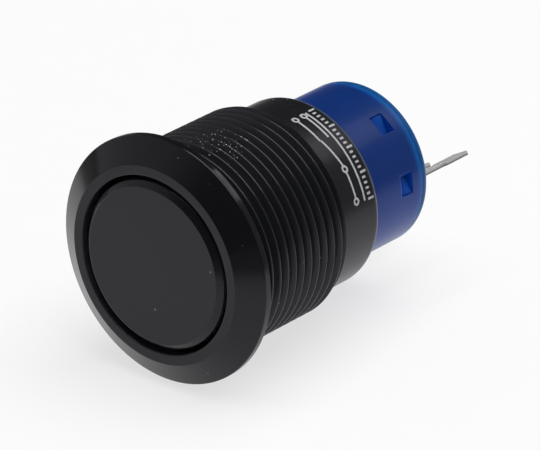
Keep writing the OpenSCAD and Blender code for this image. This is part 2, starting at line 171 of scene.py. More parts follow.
# %% Finish: turned black anodising, where it is rubbed
THREAD_CREST, THREAD_ROOT, BORE_R = 9.45, 8.8366, 7.925
OXIDE_MIRROR, VIOLET_CAST, RUB_PATCH = 0.34, (0.92, 0.9, 1, 1), 2.2 * MM
black_anodising, tree, shader, place = start_finish("black_anodised_aluminium_turned")
split = add(tree, "ShaderNodeSeparateXYZ", {0: place})
flat = add(tree, "ShaderNodeVectorMath", {0: place, 1: (1, 0, 1)}, operation="MULTIPLY")
radius = add(tree, "ShaderNodeVectorMath", {0: flat}, operation="LENGTH").outputs["Value"]
behind = add(tree, "ShaderNodeMapRange", {"Value": split.outputs["Y"], "From Min": 0, "From Max": 0.3 * MM})
crest = add(
    tree, "ShaderNodeMapRange",
    {"Value": radius, "From Min": (THREAD_CREST - 0.06) * MM, "From Max": (THREAD_CREST - 0.01) * MM},
)
crest = add(tree, "ShaderNodeMath", {0: crest, 1: behind}, operation="MULTIPLY")
rub = add(tree, "ShaderNodeTexNoise", {"Vector": place, "Scale": 1 / RUB_PATCH, "Detail": 4})
patch = add(tree, "ShaderNodeMapRange", {"Value": rub, "From Min": 0.36, "From Max": 0.64})
wear = add(tree, "ShaderNodeMath", {0: crest, 1: patch}, operation="MULTIPLY")
print(black_anodising.name, len(tree.nodes), "nodes for the rubbed crests")

# %% Finish: turned black anodising, its gloss
LATHE_RING, HAZE = 0.12 * MM, 1.5 * MM
lathe_line = add(tree, "ShaderNodeCombineXYZ", {0: radius, 1: split.outputs["Y"]})
rings = add(tree, "ShaderNodeTexNoise", {"Vector": lathe_line, "Scale": 1 / LATHE_RING, "Detail": 2})
haze = add(tree, "ShaderNodeTexNoise", {"Vector": place, "Scale": 1 / HAZE, "Detail": 3})
marks = add(tree, "ShaderNodeMath", {0: rings, 1: 0.5, 2: haze}, operation="MULTIPLY_ADD")
polish = add(
    tree, "ShaderNodeMapRange",
    {"Value": marks, "From Min": 0.5, "From Max": 1, "To Min": 0.12, "To Max": 0.19},
)
dull = add(tree, "ShaderNodeMath", {0: behind, 1: crest}, operation="SUBTRACT")
gloss = add(tree, "ShaderNodeMath", {0: dull, 1: 0.13, 2: polish}, operation="MULTIPLY_ADD")
relief = add(tree, "ShaderNodeBump", {"Height": rings, "Strength": 0.12, "Distance": 0.003 * MM})
fill(tree, shader, {
    "Roughness": gloss, "Normal": relief,
    "Specular IOR Level": OXIDE_MIRROR, "Specular Tint": VIOLET_CAST,
})
print(black_anodising.name, len(tree.nodes), "nodes with the gloss")

# %% [markdown]
# ### Its colour: black, with rubbed crests, dust and a painted-light bore
# The crests of the thread rub against nuts and fingers, so the dye is thinner there, in patches, and it is
# nearly gone from the rear edge. Behind the polished flange it is a shade paler, and on the cut thread paler
# still. The bore and all inside it are painted dark grey. This is painted light, standing in for the light
# that reaches into the gap round the button, so the gap isn't a black hole. Fine dust has caught on the upper
# side of the thread, and a few grains lie elsewhere. A grain is about 0.05 mm wide and is drawn up to 0.15 mm
# wide. Each grain is the middle of a Voronoi cell, and the cell's random colour decides if it shows and how
# large it is. The tones are laid one over another, each where its own mask is white, and the dust comes last.

# %% Finish: turned black anodising, its dust
DUSTY_SPOT, DUST_CELL = (1.2 * MM, 4.9 * MM, 9.2 * MM), 0.2 * MM
near = add(tree, "ShaderNodeVectorMath", {0: place, 1: DUSTY_SPOT}, operation="DISTANCE")
share = add(
    tree, "ShaderNodeMapRange",
    {"Value": near.outputs["Value"], "From Min": 0.8 * MM, "From Max": 3 * MM,
     "To Min": 1, "To Max": 0.004},
)
grains = add(tree, "ShaderNodeTexVoronoi", {"Vector": place, "Scale": 1 / DUST_CELL})
lot = add(tree, "ShaderNodeSeparateColor", {0: grains.outputs["Color"]})
width = add(tree, "ShaderNodeMath", {0: lot.outputs[1], 1: 0.36}, operation="MULTIPLY")
grain = add(tree, "ShaderNodeMath", {0: grains.outputs["Distance"], 1: width}, operation="LESS_THAN")
shows = add(tree, "ShaderNodeMath", {0: lot, 1: share}, operation="LESS_THAN")
dust = add(tree, "ShaderNodeMath", {0: grain, 1: shows}, operation="MULTIPLY")
print(black_anodising.name, len(tree.nodes), "nodes with the dust")

# %% Finish: turned black anodising, its colour
rear_edge = add(
    tree, "ShaderNodeMapRange",
    {"Value": split.outputs["Y"],
     "From Min": (barrel_end - 0.5) * MM, "From Max": (barrel_end - 0.35) * MM},
)
on_thread = add(
    tree, "ShaderNodeMapRange",
    {"Value": radius, "From Min": (THREAD_ROOT - 0.2) * MM, "From Max": (THREAD_ROOT - 0.1) * MM},
)
on_thread = add(tree, "ShaderNodeMath", {0: on_thread, 1: behind}, operation="MULTIPLY")
# Painted light: the bore and all inside it are painted dark grey, so the gap round the button isn't black.
bore_painted_light = add(
    tree, "ShaderNodeMapRange",
    {"Value": radius, "From Min": (BORE_R + 0.01) * MM, "From Max": (BORE_R + 0.05) * MM,
     "To Min": 1, "To Max": 0},
)
tone = linear("#0b0c10")
for mask, hex_code in (
    (behind, "#111216"), (on_thread, "#1c1d21"), (bore_painted_light, "#34353a"),
    (wear, "#2a2b2e"), (rear_edge, "#52565e"), (dust, "#b2b2b4"),
):
    layer = {0: mask, 6: tone, 7: linear(hex_code)}
    tone = add(tree, "ShaderNodeMix", layer, data_type="RGBA").outputs[2]
fill(tree, shader, {"Base Color": tone})
print(black_anodising.name, len(tree.nodes), "nodes in all")

# %% [markdown]
# ## Black anodised aluminium, polished
# The button is the same metal, but its face was polished before it was dyed. That gives an even, smooth
# charcoal with no rings. What is left is a faint haze, hairlines of about 0.02 mm from wiping, drawn at 0.06
# mm, and a grain of dust here and there. On the left, where the face turns into the bevel, a paler line is a
# painted highlight. The side, down in the gap, is painted as grey as the bore, which is painted light.

# %% Finish: polished black anodising, its gloss and dust
BEVEL_W, BEVEL_H = 0.55, 0.4
CLOUD, HAIRLINE, LONE_GRAIN_CELL = 4 * MM, 0.06 * MM, 3 * MM
polished_anodising, tree, shader, place = start_finish("black_anodised_aluminium_polished")
split = add(tree, "ShaderNodeSeparateXYZ", {0: place})
on_face = add(tree, "ShaderNodeCombineXYZ", {0: split.outputs["X"], 1: split.outputs["Z"]})
cloud = add(tree, "ShaderNodeTexNoise", {"Vector": place, "Scale": 1 / CLOUD, "Detail": 3})
across = add(tree, "ShaderNodeMapping", {"Vector": place, "Rotation": (0, 0.6, 0), "Scale": (1, 1, 0.05)})
hairs = add(tree, "ShaderNodeTexNoise", {"Vector": across, "Scale": 1 / HAIRLINE, "Detail": 2})
marks = add(tree, "ShaderNodeMath", {0: hairs, 1: 0.4, 2: cloud}, operation="MULTIPLY_ADD")
gloss = add(
    tree, "ShaderNodeMapRange",
    {"Value": marks, "From Min": 0.4, "From Max": 1, "To Min": 0.14, "To Max": 0.22},
)
grains = add(
    tree, "ShaderNodeTexVoronoi",
    {"Vector": on_face, "Scale": 1 / LONE_GRAIN_CELL}, voronoi_dimensions="2D",
)
lot = add(tree, "ShaderNodeSeparateColor", {0: grains.outputs["Color"]})
width = add(
    tree, "ShaderNodeMapRange",
    {"Value": lot, "From Min": 0.12, "From Max": 0.121, "To Min": 0.03, "To Max": 0},
)
grain = add(tree, "ShaderNodeMath", {0: grains.outputs["Distance"], 1: width}, operation="LESS_THAN")
fill(tree, shader, {
    "Roughness": gloss, "Specular IOR Level": OXIDE_MIRROR, "Specular Tint": VIOLET_CAST,
})
print(polished_anodising.name, len(tree.nodes), "nodes with the gloss and the dust")

# %% Finish: polished black anodising, its colour
off_edge = add(tree, "ShaderNodeVectorMath", {0: on_face}, operation="LENGTH")
off_edge = add(
    tree, "ShaderNodeMath",
    {0: off_edge.outputs["Value"], 1: (cap_r - BEVEL_W) * MM, 2: 0.06 * MM}, operation="COMPARE",
)
# Painted highlight: a paler line along the left part of the face's edge.
leftward = add(
    tree, "ShaderNodeMapRange",
    {"Value": split.outputs["X"], "From Min": 1 * MM, "From Max": -5 * MM},
)
left_edge_highlight = add(tree, "ShaderNodeMath", {0: off_edge, 1: leftward}, operation="MULTIPLY")
left_edge_highlight = add(tree, "ShaderNodeMath", {0: left_edge_highlight, 1: cloud}, operation="MULTIPLY")
# Painted light: the side down in the gap and the inside are painted as grey as the bore.
side_painted_light = add(
    tree, "ShaderNodeMapRange",
    {"Value": split.outputs["Y"],
     "From Min": (cap_y + BEVEL_H) * MM, "From Max": (cap_y + BEVEL_H + 0.1) * MM},
)
tone = linear("#0a0a0e")
for mask, hex_code in ((cloud, "#0f0f13"), (side_painted_light, "#34353a"), (left_edge_highlight, "#46464b"), (grain, "#77777a")):
    layer = {0: mask, 6: tone, 7: linear(hex_code)}
    tone = add(tree, "ShaderNodeMix", layer, data_type="RGBA").outputs[2]
fill(tree, shader, {"Base Color": tone})
print(polished_anodising.name, len(tree.nodes), "nodes in all")

# %% [markdown]
# ## Blue moulded nylon
# The switch housing and its plug are injection moulded in blue nylon. It is a satin, slightly see-through
# plastic: light enters it and comes out again a fraction of a millimetre further on. Light and shade are
# painted into its tone as well. The side towards the upper right is a deeper blue, which is painted shade.
# Below the sleeve's outer face, on the window walls, the lugs and inside, it is a clearer blue, which is
# painted light. The rear end with the plug's end plate is a lighter azure, which is a painted glow. The mould
# was spark eroded, which leaves a fine, even grain of about 0.1 mm.

# %% Finish: blue nylon, for the housing and for the plug
SHADED_SIDE, MELT_FLOW, SPARK_GRAIN = (0.5, 0, 0.866), 4 * MM, 0.1 * MM
blue_nylon = {}
for part, painted_glow_start, painted_glow_end, mirror, recess_light_tone, painted_glow_tone in (
    ("housing", seat_y - 0.9, seat_y + 0.3, 0.24, "#0b5cc0", "#0a66b8"),
    ("plug", seat_y - 0.3, seat_y + 0.1, 0.2, "#0a469e", "#0c508f"),
):
    finish, tree, shader, place = start_finish("blue_nylon_moulded_" + part)
    flow = add(tree, "ShaderNodeTexNoise", {"Vector": place, "Scale": 1 / MELT_FLOW, "Detail": 2})
    spark = add(tree, "ShaderNodeTexNoise", {"Vector": place, "Scale": 1 / SPARK_GRAIN, "Detail": 2})
    flat = add(tree, "ShaderNodeVectorMath", {0: place, 1: (1, 0, 1)}, operation="MULTIPLY")
    radius = add(tree, "ShaderNodeVectorMath", {0: flat}, operation="LENGTH").outputs["Value"]
    outward = add(tree, "ShaderNodeVectorMath", {0: flat}, operation="NORMALIZE")
    side = add(tree, "ShaderNodeVectorMath", {0: outward, 1: SHADED_SIDE}, operation="DOT_PRODUCT")
    # Painted shade: the side towards the upper right is painted a deeper blue.
    upper_painted_shade = add(
        tree, "ShaderNodeMapRange",
        {"Value": side.outputs["Value"], "From Min": 0.2, "From Max": 0.9},
        interpolation_type="SMOOTHSTEP",
    )
    # Painted light: below the sleeve's outer face, in the windows, on the lugs and inside, the blue is
    # painted clearer.
    recess_painted_light = add(
        tree, "ShaderNodeMapRange",
        {"Value": radius, "From Min": (housing_r - 0.12) * MM, "From Max": (housing_r - 0.04) * MM,
         "To Min": 1, "To Max": 0},
    )
    depth = add(tree, "ShaderNodeSeparateXYZ", {0: place}).outputs["Y"]
    # Painted glow: the rear end and the plug's end plate are painted a lighter azure.
    painted_glow = add(
        tree, "ShaderNodeMapRange",
        {"Value": depth, "From Min": painted_glow_start * MM, "From Max": painted_glow_end * MM},
        interpolation_type="SMOOTHSTEP",
    )
    tone = linear("#03358c")
    for mask, hex_code in ((flow, "#05409c"), (upper_painted_shade, "#032c70"), (recess_painted_light, recess_light_tone), (painted_glow, painted_glow_tone)):
        layer = {0: mask, 6: tone, 7: linear(hex_code)}
        tone = add(tree, "ShaderNodeMix", layer, data_type="RGBA").outputs[2]
    gloss = add(tree, "ShaderNodeMapRange", {"Value": spark, "To Min": 0.25, "To Max": 0.33})
    relief = add(tree, "ShaderNodeBump", {"Height": spark, "Strength": 0.06, "Distance": 0.004 * MM})
    fill(tree, shader, {
        "Base Color": tone, "Roughness": gloss, "Normal": relief,
        "Specular IOR Level": mirror, "Subsurface Weight": 0.6,
        "Subsurface Radius": (0.1, 0.4, 1.0), "Subsurface Scale": 0.8 * MM,
    })
    blue_nylon[part] = finish
    print(finish.name, len(tree.nodes), "nodes")

# %% [markdown]
# ## Tin plate, steel, copper alloy and silver
# The metal pieces differ in colour and in how they were made. Blades are stamped from brass strip, and the
# strip was rolled, so fine lines run along it under the matt tin. Springs, ring and clip are drawn steel
# wire and strip, the rocker is phosphor bronze, and the contact rivets are silver. All are metals, so the
# colour goes into the reflection and the IOR stays as it is. Matt tin is a crust of fine crystals that also
# scatters light like a powder, so it is only about half metallic. Lines are stretched noise, 0.06 mm wide.
# A helper ends such a finish: one pattern mixes two tones, and the other gives the gloss and a slight relief.

# %% Finishes: the metals
def two_toned(tree, shader, tones, blend, marks, gloss, strength, height):
    layer = {0: blend, 6: linear(tones[0]), 7: linear(tones[1])}
    tone = add(tree, "ShaderNodeMix", layer, data_type="RGBA")
    shine = add(tree, "ShaderNodeMapRange", {"Value": marks, "To Min": gloss[0], "To Max": gloss[1]})
    relief = add(tree, "ShaderNodeBump", {"Height": marks, "Strength": strength, "Distance": height * MM})
    fill(tree, shader, {"Base Color": tone.outputs[2], "Roughness": shine, "Normal": relief})


ROLLED_LINE, BLOOM = 0.06 * MM, 1.2 * MM
metals = {}
for name, tones, gloss, metallic in (
    ("tin_plated_brass_rolled", ("#b0b0b1", "#d6d6d7"), (0.42, 0.58), 0.55),
    ("spring_steel_drawn", ("#8f9296", "#b2b5ba"), (0.2, 0.34), 1),
    ("phosphor_bronze_rolled", ("#a8743c", "#c48d50"), (0.24, 0.38), 1),
    ("silver_contact_headed", ("#cfcfd0", "#e4e4e4"), (0.18, 0.3), 1),
):
    finish, tree, shader, place = start_finish(name)
    along = add(tree, "ShaderNodeMapping", {"Vector": place, "Scale": (1, 0.04, 1)})
    lines = add(tree, "ShaderNodeTexNoise", {"Vector": along, "Scale": 1 / ROLLED_LINE, "Detail": 2})
    bloom = add(tree, "ShaderNodeTexNoise", {"Vector": place, "Scale": 1 / BLOOM, "Detail": 3})
    two_toned(tree, shader, tones, bloom, lines, gloss, strength=0.15, height=0.002)
    fill(tree, shader, {"Metallic": metallic})
    metals[name.split("_")[0]] = finish
print("metals:", ", ".join(metals))

# %% [markdown]
# ### The sheared edge of the blades
# A punch cuts the strip only half way. The upper half of the edge is sheared bright, and the lower half tears
# off and stays dull. That darker lower half is partly the dull torn zone and partly painted shade. The switch
# block sits turned in the barrel, so the place through the strip's thickness is measured along the block's
# own upright, and a band is laid there that leaves both flat faces alone. The tin has its nodes already, so
# they are fetched by name, and the band goes between its tone and its shader.

# %% Finish: the torn and shaded half of a sheared edge
CLOCK, BLADE_ROW, BLADE_T = 29.4, -2.9, 0.4
block_up = (-math.sin(math.radians(CLOCK)), 0, math.cos(math.radians(CLOCK)))
tree = metals["tin"].node_tree
shader = tree.nodes["Principled BSDF"]
place = tree.nodes["Texture Coordinate"].outputs["Object"]
tone = shader.inputs["Base Color"].links[0].from_socket
through = add(tree, "ShaderNodeVectorMath", {0: place, 1: block_up}, operation="DOT_PRODUCT")
below = add(
    tree, "ShaderNodeMapRange",
    {"Value": through.outputs["Value"],
     "From Min": (BLADE_ROW - 0.02) * MM, "From Max": (BLADE_ROW - 0.1) * MM},
)
off_flat = add(
    tree, "ShaderNodeMath",
    {0: through.outputs["Value"], 1: (BLADE_ROW - BLADE_T / 2 + 0.012) * MM}, operation="GREATER_THAN",
)
torn_and_shaded = add(tree, "ShaderNodeMath", {0: below, 1: off_flat}, operation="MULTIPLY")
# The lower half of the edge is painted darker: partly the dull torn zone, partly painted shade.
edge_tone = add(tree, "ShaderNodeMix", {0: torn_and_shaded, 6: tone, 7: linear("#84827d")}, data_type="RGBA")
fill(tree, shader, {"Base Color": edge_tone.outputs[2]})
print(metals["tin"].name, len(tree.nodes), "nodes with the torn edge")

# %% [markdown]
# ## White acetal, black rubber and white ink
# Three plain finishes are left. The push piece is white acetal, waxy and faintly see-through. The two seals
# are black nitrile rubber, matt, with a dusty bloom. The print on the barrel is white ink laid on by a soft
# pad, so it is thin, matt and a little uneven. One loop makes all three, each from its own two tones.

# %% Finishes: acetal, rubber and ink
plain = {}
for name, tones, gloss, size in (
    ("acetal_white_moulded", ("#d9d7cf", "#e9e7e0"), (0.34, 0.46), 0.15),
    ("nitrile_rubber_black_moulded", ("#101011", "#1c1c1d"), (0.6, 0.8), 0.2),
    ("ink_white_pad_printed", ("#a2a3a6", "#c2c3c5"), (0.5, 0.7), 0.12),
):
    finish, tree, shader, place = start_finish(name)
    spots = add(tree, "ShaderNodeTexNoise", {"Vector": place, "Scale": 1 / (size * MM), "Detail": 3})
    two_toned(tree, shader, tones, spots, spots, gloss, strength=0.2, height=0.005)
    plain[name.split("_")[0]] = finish
print("plain finishes:", ", ".join(plain))

# %% [markdown]
# ## Turned outlines
# A lathe makes most of this part, so most of its shapes are an outline turned round the Y axis. No real edge
# is quite sharp: each corner gets a small arc, which is what catches the light. The corner is written as
# (radius, depth, edge radius) in millimetres, where 0 leaves it sharp, and a spare point beside the arc keeps
# the flats flat.

# %% Outline helper
def eased(corners):
    points = []
    for i, (radius, depth, edge) in enumerate(corners):
        here = Vector((radius, depth))
        if edge == 0:
            points.append(here)
            continue
        before = Vector(corners[i - 1][:2])
        after = Vector(corners[(i + 1) % len(corners)][:2])
        arrive = (here - before).normalized()
        leave = (after - here).normalized()
        turn = arrive.angle(leave)
        inward = (leave - arrive * math.cos(turn)).normalized()
        back = edge * math.tan(turn / 2)
        start = here - arrive * back
        steps = max(3, round(math.degrees(turn) / 15))
        points.append(start - arrive * edge / 2)
        for step in range(steps + 1):
            bent = turn * step / steps
            points.append(start + edge * (math.sin(bent) * arrive + (1 - math.cos(bent)) * inward))
        points.append(here + leave * (back + edge / 2))
    return [(point.x, point.y) for point in points]


print("a 0.1 mm eased corner has", len(eased([(0, 0, 0), (1, 0, 0.1), (1, 1, 0)])) - 2, "points")

# %% [markdown]
# ## Helpers that finish a piece
# A turned mesh is made ring by ring. Points on the axis fall together, so doubles are merged and the faces
# are then turned outwards. Smooth shading runs over the small arcs, and only what bends more than 40 degrees
# stays sharp. A piece that was shaped by modifiers is frozen into a plain mesh, because the exported part
# keeps meshes and not modifiers. Each finished piece rides on its body and stands for its CAD node.

# %% Piece helpers
WELD, SHARP = 0.0005 * MM, math.radians(40)


def finish_mesh(piece):
    shape = bmesh.new()
    shape.from_mesh(piece.data)
    bmesh.ops.remove_doubles(shape, verts=shape.verts, dist=WELD)
    bmesh.ops.recalc_face_normals(shape, faces=shape.faces)
    shape.to_mesh(piece.data)
    shape.free()
    piece.data.shade_smooth()
    piece.data.set_sharp_from_angle(angle=SHARP)
    return piece


def freeze(piece):
    made = piece.evaluated_get(bpy.context.evaluated_depsgraph_get())
    mesh = bpy.data.meshes.new_from_object(made)
    piece.modifiers.clear()
    piece.data = mesh
    return piece


def new_piece(name, points, faces, finish, edges=()):
    mesh = bpy.data.meshes.new(name)
    mesh.from_pydata([[length * MM for length in point] for point in points], edges, faces)
    mesh.materials.append(finish)
    piece = bpy.data.objects.new(name, mesh)
    scene.collection.objects.link(piece)
    return piece


def turned(name, outline, finish, around=256, closed=True):
    rows = len(outline)
    points, faces = [], []
    for k in range(around):
        angle = 2 * math.pi * k / around
        points += [(r * math.cos(angle), y, r * math.sin(angle)) for r, y in outline]
        ahead = (k + 1) % around
        for i in range(rows if closed else rows - 1):
            j = (i + 1) % rows
            faces.append((k * rows + i, k * rows + j, ahead * rows + j, ahead * rows + i))
    return finish_mesh(new_piece(name, points, faces, finish))


def settle(piece, body, slot, *stands_for):
    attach(piece, body)
    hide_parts(*stands_for)
    piece.data.calc_loop_triangles()
    print(piece.name, "rides", body, "with", len(piece.data.loop_triangles), "triangles")


print("points closer than", WELD / MM, "mm are welded")

# %% [markdown]
# ## Helpers for Geometry Nodes
# A Geometry Nodes tree is a rule with named sizes. It is built once, set on a modifier by the identifiers of
# its inputs, run and frozen. Two rules wrap something round the barrel, so that step is a function as well:
# it takes an angle and a reach, and gives the place.

# %% Geometry Nodes helpers
def start_rule(name, sizes):
    rule = bpy.data.node_groups.new(name, "GeometryNodeTree")
    rule.interface.new_socket("Geometry", in_out="OUTPUT", socket_type="NodeSocketGeometry")
    rule.interface.new_socket("Geometry", in_out="INPUT", socket_type="NodeSocketGeometry")
    for size in sizes:
        rule.interface.new_socket(size, in_out="INPUT", socket_type="NodeSocketFloat")
    rule.interface.new_socket("Finish", in_out="INPUT", socket_type="NodeSocketMaterial")
    return rule, rule.nodes.new("NodeGroupInput").outputs


def end_rule(rule, shape, finish):
    whole = add(rule, "GeometryNodeRealizeInstances", {"Geometry": shape})
    coloured = add(rule, "GeometryNodeSetMaterial", {"Geometry": whole, "Material": finish})
    add(rule, "NodeGroupOutput", {"Geometry": coloured})


def follow_rule(piece, rule, values):
    step = piece.modifiers.new(rule.name, "NODES")
    step.node_group = rule
    for socket in rule.interface.items_tree:
        if socket.in_out == "INPUT" and socket.name in values:
            step[socket.identifier] = values[socket.name]
    return finish_mesh(freeze(piece))


def round_the_axis(rule, angle, reach, depth):
    cosine = add(rule, "ShaderNodeMath", {0: angle}, operation="COSINE")
    sine = add(rule, "ShaderNodeMath", {0: angle}, operation="SINE")
    x = add(rule, "ShaderNodeMath", {0: reach, 1: cosine}, operation="MULTIPLY")
    z = add(rule, "ShaderNodeMath", {0: reach, 1: sine}, operation="MULTIPLY")
    return add(rule, "ShaderNodeCombineXYZ", {0: x, 1: depth, 2: z})


print("rules made so far:", len(bpy.data.node_groups))

# %% [markdown]
# ## The thread as a rule
# The barrel carries a right-handed thread of 1 mm pitch. A thread is a groove that moves along by one pitch
# in each turn, and cutting it with a Boolean would need a long, delicate screw-shaped tool. A rule is
# simpler: a sheet of points is wrapped round the barrel, each row slides along by one pitch in a turn, so
# rows follow the crests, and the distance from the nearest crest sets how deep a point lies. The flanks are
# straight, at 60 degrees to each other, and a smooth minimum and maximum round them into crest and root.

# %% Rule: cut a thread, where each point lies along it
thread_rule, given = start_rule("cut_right_hand_thread", [
    "Pitch", "Crest radius", "Root radius", "Crest width", "Rounding", "Thread end", "Crest phase", "Lead-in",
])
around, row, cut = [
    add(thread_rule, "GeometryNodeInputNamedAttribute", {"Name": mark}, data_type="FLOAT")
    for mark in ("around", "row", "cut")
]
slid = add(thread_rule, "ShaderNodeMath", {0: row, 1: around}, operation="SUBTRACT")
depth = add(thread_rule, "ShaderNodeMath", {0: slid, 1: given["Pitch"]}, operation="MULTIPLY")
depth = add(thread_rule, "ShaderNodeClamp", {"Value": depth, "Min": 0, "Max": given["Thread end"]})
off_crest = depth
for operation, other in (
    ("DIVIDE", given["Pitch"]), ("ADD", around), ("ADD", given["Crest phase"]), ("FRACT", 0),
    ("SUBTRACT", 0.5), ("ABSOLUTE", 0), ("MULTIPLY", given["Pitch"]),
):
    off_crest = add(thread_rule, "ShaderNodeMath", {0: off_crest, 1: other}, operation=operation)
print(thread_rule.name, len(thread_rule.nodes), "nodes so far")

# %% Rule: cut a thread, how far each point reaches out
FLANK_SLOPE = 1 / math.tan(math.radians(30))
half_crest = add(thread_rule, "ShaderNodeMath", {0: given["Crest width"], 1: 0.5}, operation="MULTIPLY")
away = add(thread_rule, "ShaderNodeMath", {0: off_crest, 1: half_crest}, operation="SUBTRACT")
fall = add(thread_rule, "ShaderNodeMath", {0: away, 1: FLANK_SLOPE}, operation="MULTIPLY")
flank = add(thread_rule, "ShaderNodeMath", {0: given["Crest radius"], 1: fall}, operation="SUBTRACT")
topped = add(
    thread_rule, "ShaderNodeMath",
    {0: flank, 1: given["Crest radius"], 2: given["Rounding"]}, operation="SMOOTH_MIN",
)
profile = add(
    thread_rule, "ShaderNodeMath",
    {0: topped, 1: given["Root radius"], 2: given["Rounding"]}, operation="SMOOTH_MAX",
)
lead = add(thread_rule, "ShaderNodeMath", {0: given["Thread end"], 1: depth}, operation="SUBTRACT")
lead = add(thread_rule, "ShaderNodeMath", {0: given["Lead-in"], 1: lead}, operation="SUBTRACT")
lead = add(thread_rule, "ShaderNodeMath", {0: lead, 1: 0}, operation="MAXIMUM")
ramp = add(thread_rule, "ShaderNodeMath", {0: given["Crest radius"], 1: lead}, operation="SUBTRACT")
reach = add(thread_rule, "ShaderNodeMath", {0: profile, 1: ramp}, operation="MINIMUM")
angle = add(thread_rule, "ShaderNodeMath", {0: around, 1: 2 * math.pi}, operation="MULTIPLY")
spot = round_the_axis(thread_rule, angle, reach, depth)
moved = add(
    thread_rule, "GeometryNodeSetPosition",
    {"Geometry": given["Geometry"], "Selection": cut, "Position": spot},
)
welded = add(thread_rule, "GeometryNodeMergeByDistance", {"Geometry": moved, "Distance": WELD})
end_rule(thread_rule, welded, given["Finish"])
print(thread_rule.name, len(thread_rule.nodes), "nodes in all")

# %% [markdown]
# ## Bezel and barrel
# One turned piece: a flat ring round the button, a wide bevel, a thin straight rim, the seat, the thread, the
# smooth rear barrel, and inside it the bores and the collar that guides the stem. Its sheet has one outline
# per column. The rows of the thread lie where its profile bends, as shares of a pitch from each crest, closer
# at the crest than on the flanks.

# %% Outline of the bezel and barrel
RING_R, RIM_Y = 8.825, -0.65
PITCH, THREAD_END, CREST_PHASE = 1, 12.1, 0.314
BARREL_R, BARREL_CHAMFER = 8.55, 0.25
COLLAR_Y, COLLAR_END, STEM_BORE, SEAL_BORE, SEAL_Y = 4.3, 6.9, 3.55, 4.8, 5.55
LOCK_Y, LOCK_END, FIT = 10.47, 11.23, 0.03
SEAT_INNER_R = THREAD_CREST + 0.05
BENDS, LAST_BIT = (0.04, 0.075, 0.11, 0.15, 0.27, 0.38, 0.42, 0.46), 0.001
rear_bore = housing_r + FIT
lock_r = housing_r + (LOCK_END - LOCK_Y) / 2
# The first corner of each stretch only says where the outline comes from, and is left out of it.
front = eased([
    (BORE_R, COLLAR_Y, 0), (BORE_R, ring_y, 0.1), (RING_R, ring_y, 0.07), (flange_r, RIM_Y, 0.15),
    (flange_r, 0, 0.07), (SEAT_INNER_R, 0, 0),
])[1:]
back = eased([
    (THREAD_CREST, THREAD_END, 0), (BARREL_R, THREAD_END, 0.06),
    (BARREL_R, barrel_end - BARREL_CHAMFER, 0.5), (BARREL_R - BARREL_CHAMFER, barrel_end, 0.06),
    (rear_bore, barrel_end, 0.03), (rear_bore, LOCK_END, 0),
    (lock_r, LOCK_END, 0), (lock_r, LOCK_Y, 0), (rear_bore, LOCK_Y, 0), (rear_bore, COLLAR_END, 0),
    (STEM_BORE, COLLAR_END, 0.04), (STEM_BORE, SEAL_Y, 0), (SEAL_BORE, SEAL_Y, 0), (SEAL_BORE, COLLAR_Y, 0),
    (BORE_R, COLLAR_Y, 0),
])[1:]
bends = [side * bend for bend in BENDS for side in (-1, 1)] + [0]
last_row = THREAD_END / PITCH + 1
rows = [turn + 0.5 - CREST_PHASE + bend for turn in range(-1, math.ceil(last_row) + 1) for bend in bends]
rows = [0] + sorted(row_at for row_at in rows if LAST_BIT < row_at < last_row - LAST_BIT) + [last_row]
print("outline of", len(front) + len(rows) + len(back), "points,", len(rows), "of them for the thread")

# %% Make the bezel and barrel
COLUMNS = 240
sheet = [(r, y, None) for r, y in front]
sheet += [(THREAD_CREST, 0, row_at) for row_at in rows]
sheet += [(r, y, None) for r, y in back]
points, faces, marks = [], [], {"around": [], "row": [], "cut": []}
for k in range(COLUMNS + 1):
    angle = 2 * math.pi * k / COLUMNS
    for i, (r, y, row_at) in enumerate(sheet):
        points.append((r * math.cos(angle), y, r * math.sin(angle)))
        marks["around"].append(k / COLUMNS)
        marks["row"].append(row_at or 0)
        marks["cut"].append(0 if row_at is None else 1)
        if k < COLUMNS:
            j = (i + 1) % len(sheet)
            this, ahead = k * len(sheet), (k + 1) * len(sheet)
            faces.append((this + i, this + j, ahead + j, ahead + i))
barrel = new_piece("turned_barrel", points, faces, black_anodising)
for name, values in marks.items():
    barrel.data.attributes.new(name, "FLOAT", "POINT").data.foreach_set("value", values)
follow_rule(barrel, thread_rule, {
    "Pitch": PITCH * MM, "Crest radius": THREAD_CREST * MM, "Root radius": THREAD_ROOT * MM,
    "Crest width": 0.125 * MM, "Rounding": 0.11 * MM, "Thread end": THREAD_END * MM,
    "Crest phase": CREST_PHASE, "Lead-in": 0.3 * MM, "Finish": black_anodising,
})
settle(barrel, "barrel_assembly", "black_barrel", "bezel_barrel")

# %% [markdown]
# ## The button
# A shallow cup with a flat face and a bevel round it. It stands 0.2 mm in front of the ring, with a dark gap
# of 0.4 mm round it. The bevel is a little steeper than the flange's, and both turn dark at about the same
# height, where they stop mirroring the paper. Inside, a boss takes the stem.

# %% Make the button
FACE_BACK, SKIRT_WALL = -0.8, 1
BOSS_R, BOSS_END, SPIGOT_R, SPIGOT_Y = 3.5, 0.2, 2.53, -1.13
skirt_r = cap_r - SKIRT_WALL
button = turned("button_face_cup", eased([
    (0, cap_y, 0), (cap_r - BEVEL_W, cap_y, 0.08), (cap_r, cap_y + BEVEL_H, 0.2), (cap_r, cap_end, 0.06),
    (skirt_r, cap_end, 0.06), (skirt_r, FACE_BACK, 0.1), (BOSS_R, FACE_BACK, 0.1), (BOSS_R, BOSS_END, 0.06),
    (SPIGOT_R, BOSS_END, 0.04), (SPIGOT_R, SPIGOT_Y, 0), (0, SPIGOT_Y, 0),
]), polished_anodising, closed=False)
settle(button, "button", "black_button", "button_cap")

